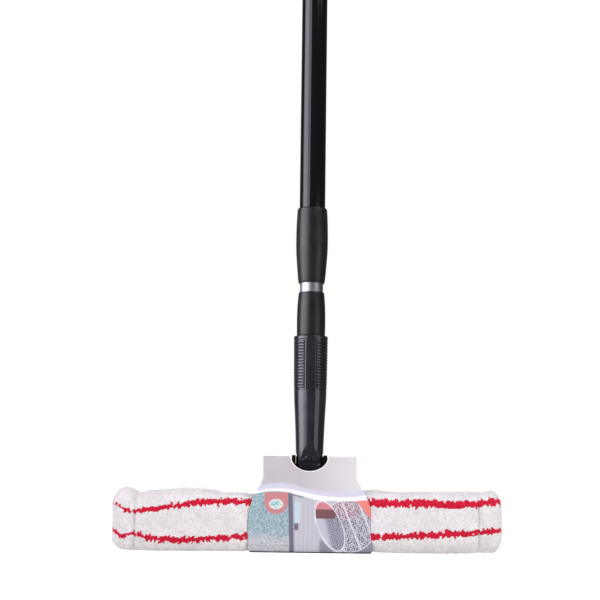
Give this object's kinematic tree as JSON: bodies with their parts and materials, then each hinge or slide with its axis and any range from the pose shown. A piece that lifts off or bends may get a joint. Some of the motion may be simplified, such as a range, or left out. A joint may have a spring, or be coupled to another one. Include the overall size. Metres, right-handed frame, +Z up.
{
  "type": "telescopic flat mop",
  "caption": "Flat mop: T-shaped head in a striped terry cover with a card sleeve, tilting ribbed neck, and telescopic twist-lock pole with soft grips and a hanging eye.",
  "frame": {"origin": "on the floor, under the middle of the head and under the tilt pin", "axes": "+Z up along the pole, +X along the head, -Y towards the viewer, out of the head's front wiping face"},
  "size_m": [0.353, 0.038, 0.8953],
  "materials": {
    "gloss_black": "gloss black lacquer on steel tube",
    "bright_steel": "bright drawn steel tube",
    "plated_steel": "zinc plated",
    "satin_black": "satin soft-touch black",
    "slate_plastic": "semi-gloss slate plastic",
    "joint_black": "plain black plastic",
    "grey_plastic": "plain grey plastic",
    "foam": "open-cell foam",
    "terry": "looped terry, white with two red stripes",
    "printed_card": "coated print card"
  },
  "bodies": {
    "head": {"head_bar": "grey_plastic", "bar_bumper_left": "satin_black", "bar_bumper_right": "satin_black", "foam_pad_front": "foam", "foam_pad_back": "foam", "mop_cover": "terry", "opening_hem": "terry", "card_sleeve": "printed_card", "swivel_yoke": "joint_black", "yoke_screw_left": "plated_steel", "yoke_screw_right": "plated_steel", "pivot_pin": "plated_steel", "pin_clip": "plated_steel", "friction_washer_left": "joint_black", "friction_washer_right": "joint_black"},
    "lower_pole": {"neck_socket": "slate_plastic", "pole_thread": "joint_black", "inner_tube": "bright_steel", "lower_grip": "satin_black", "lock_plug": "grey_plastic", "cam_spindle": "grey_plastic"},
    "lock_shoe": {"brake_ring": "joint_black"},
    "upper_pole": {"outer_tube": "gloss_black", "guide_ring": "joint_black", "upper_grip": "satin_black", "hand_grip": "satin_black", "end_cap": "satin_black"}
  },
  "joints": [
    {"name": "head_tilt", "type": "hinge", "parent": "head", "child": "lower_pole", "pos_m": [0, 0, 0.0778], "axis": [1, 0, 0], "range_deg": [-45, 45]},
    {"name": "twist_lock", "type": "hinge", "parent": "lower_pole", "child": "lock_shoe", "pos_m": [0, 0, 0.8], "axis": [0, 0, 1], "range_deg": [0, 180]},
    {"name": "handle_extend", "type": "slide", "parent": "lock_shoe", "child": "upper_pole", "axis": [0, 0, 1], "range_m": [0, 0.5]}
  ]
}
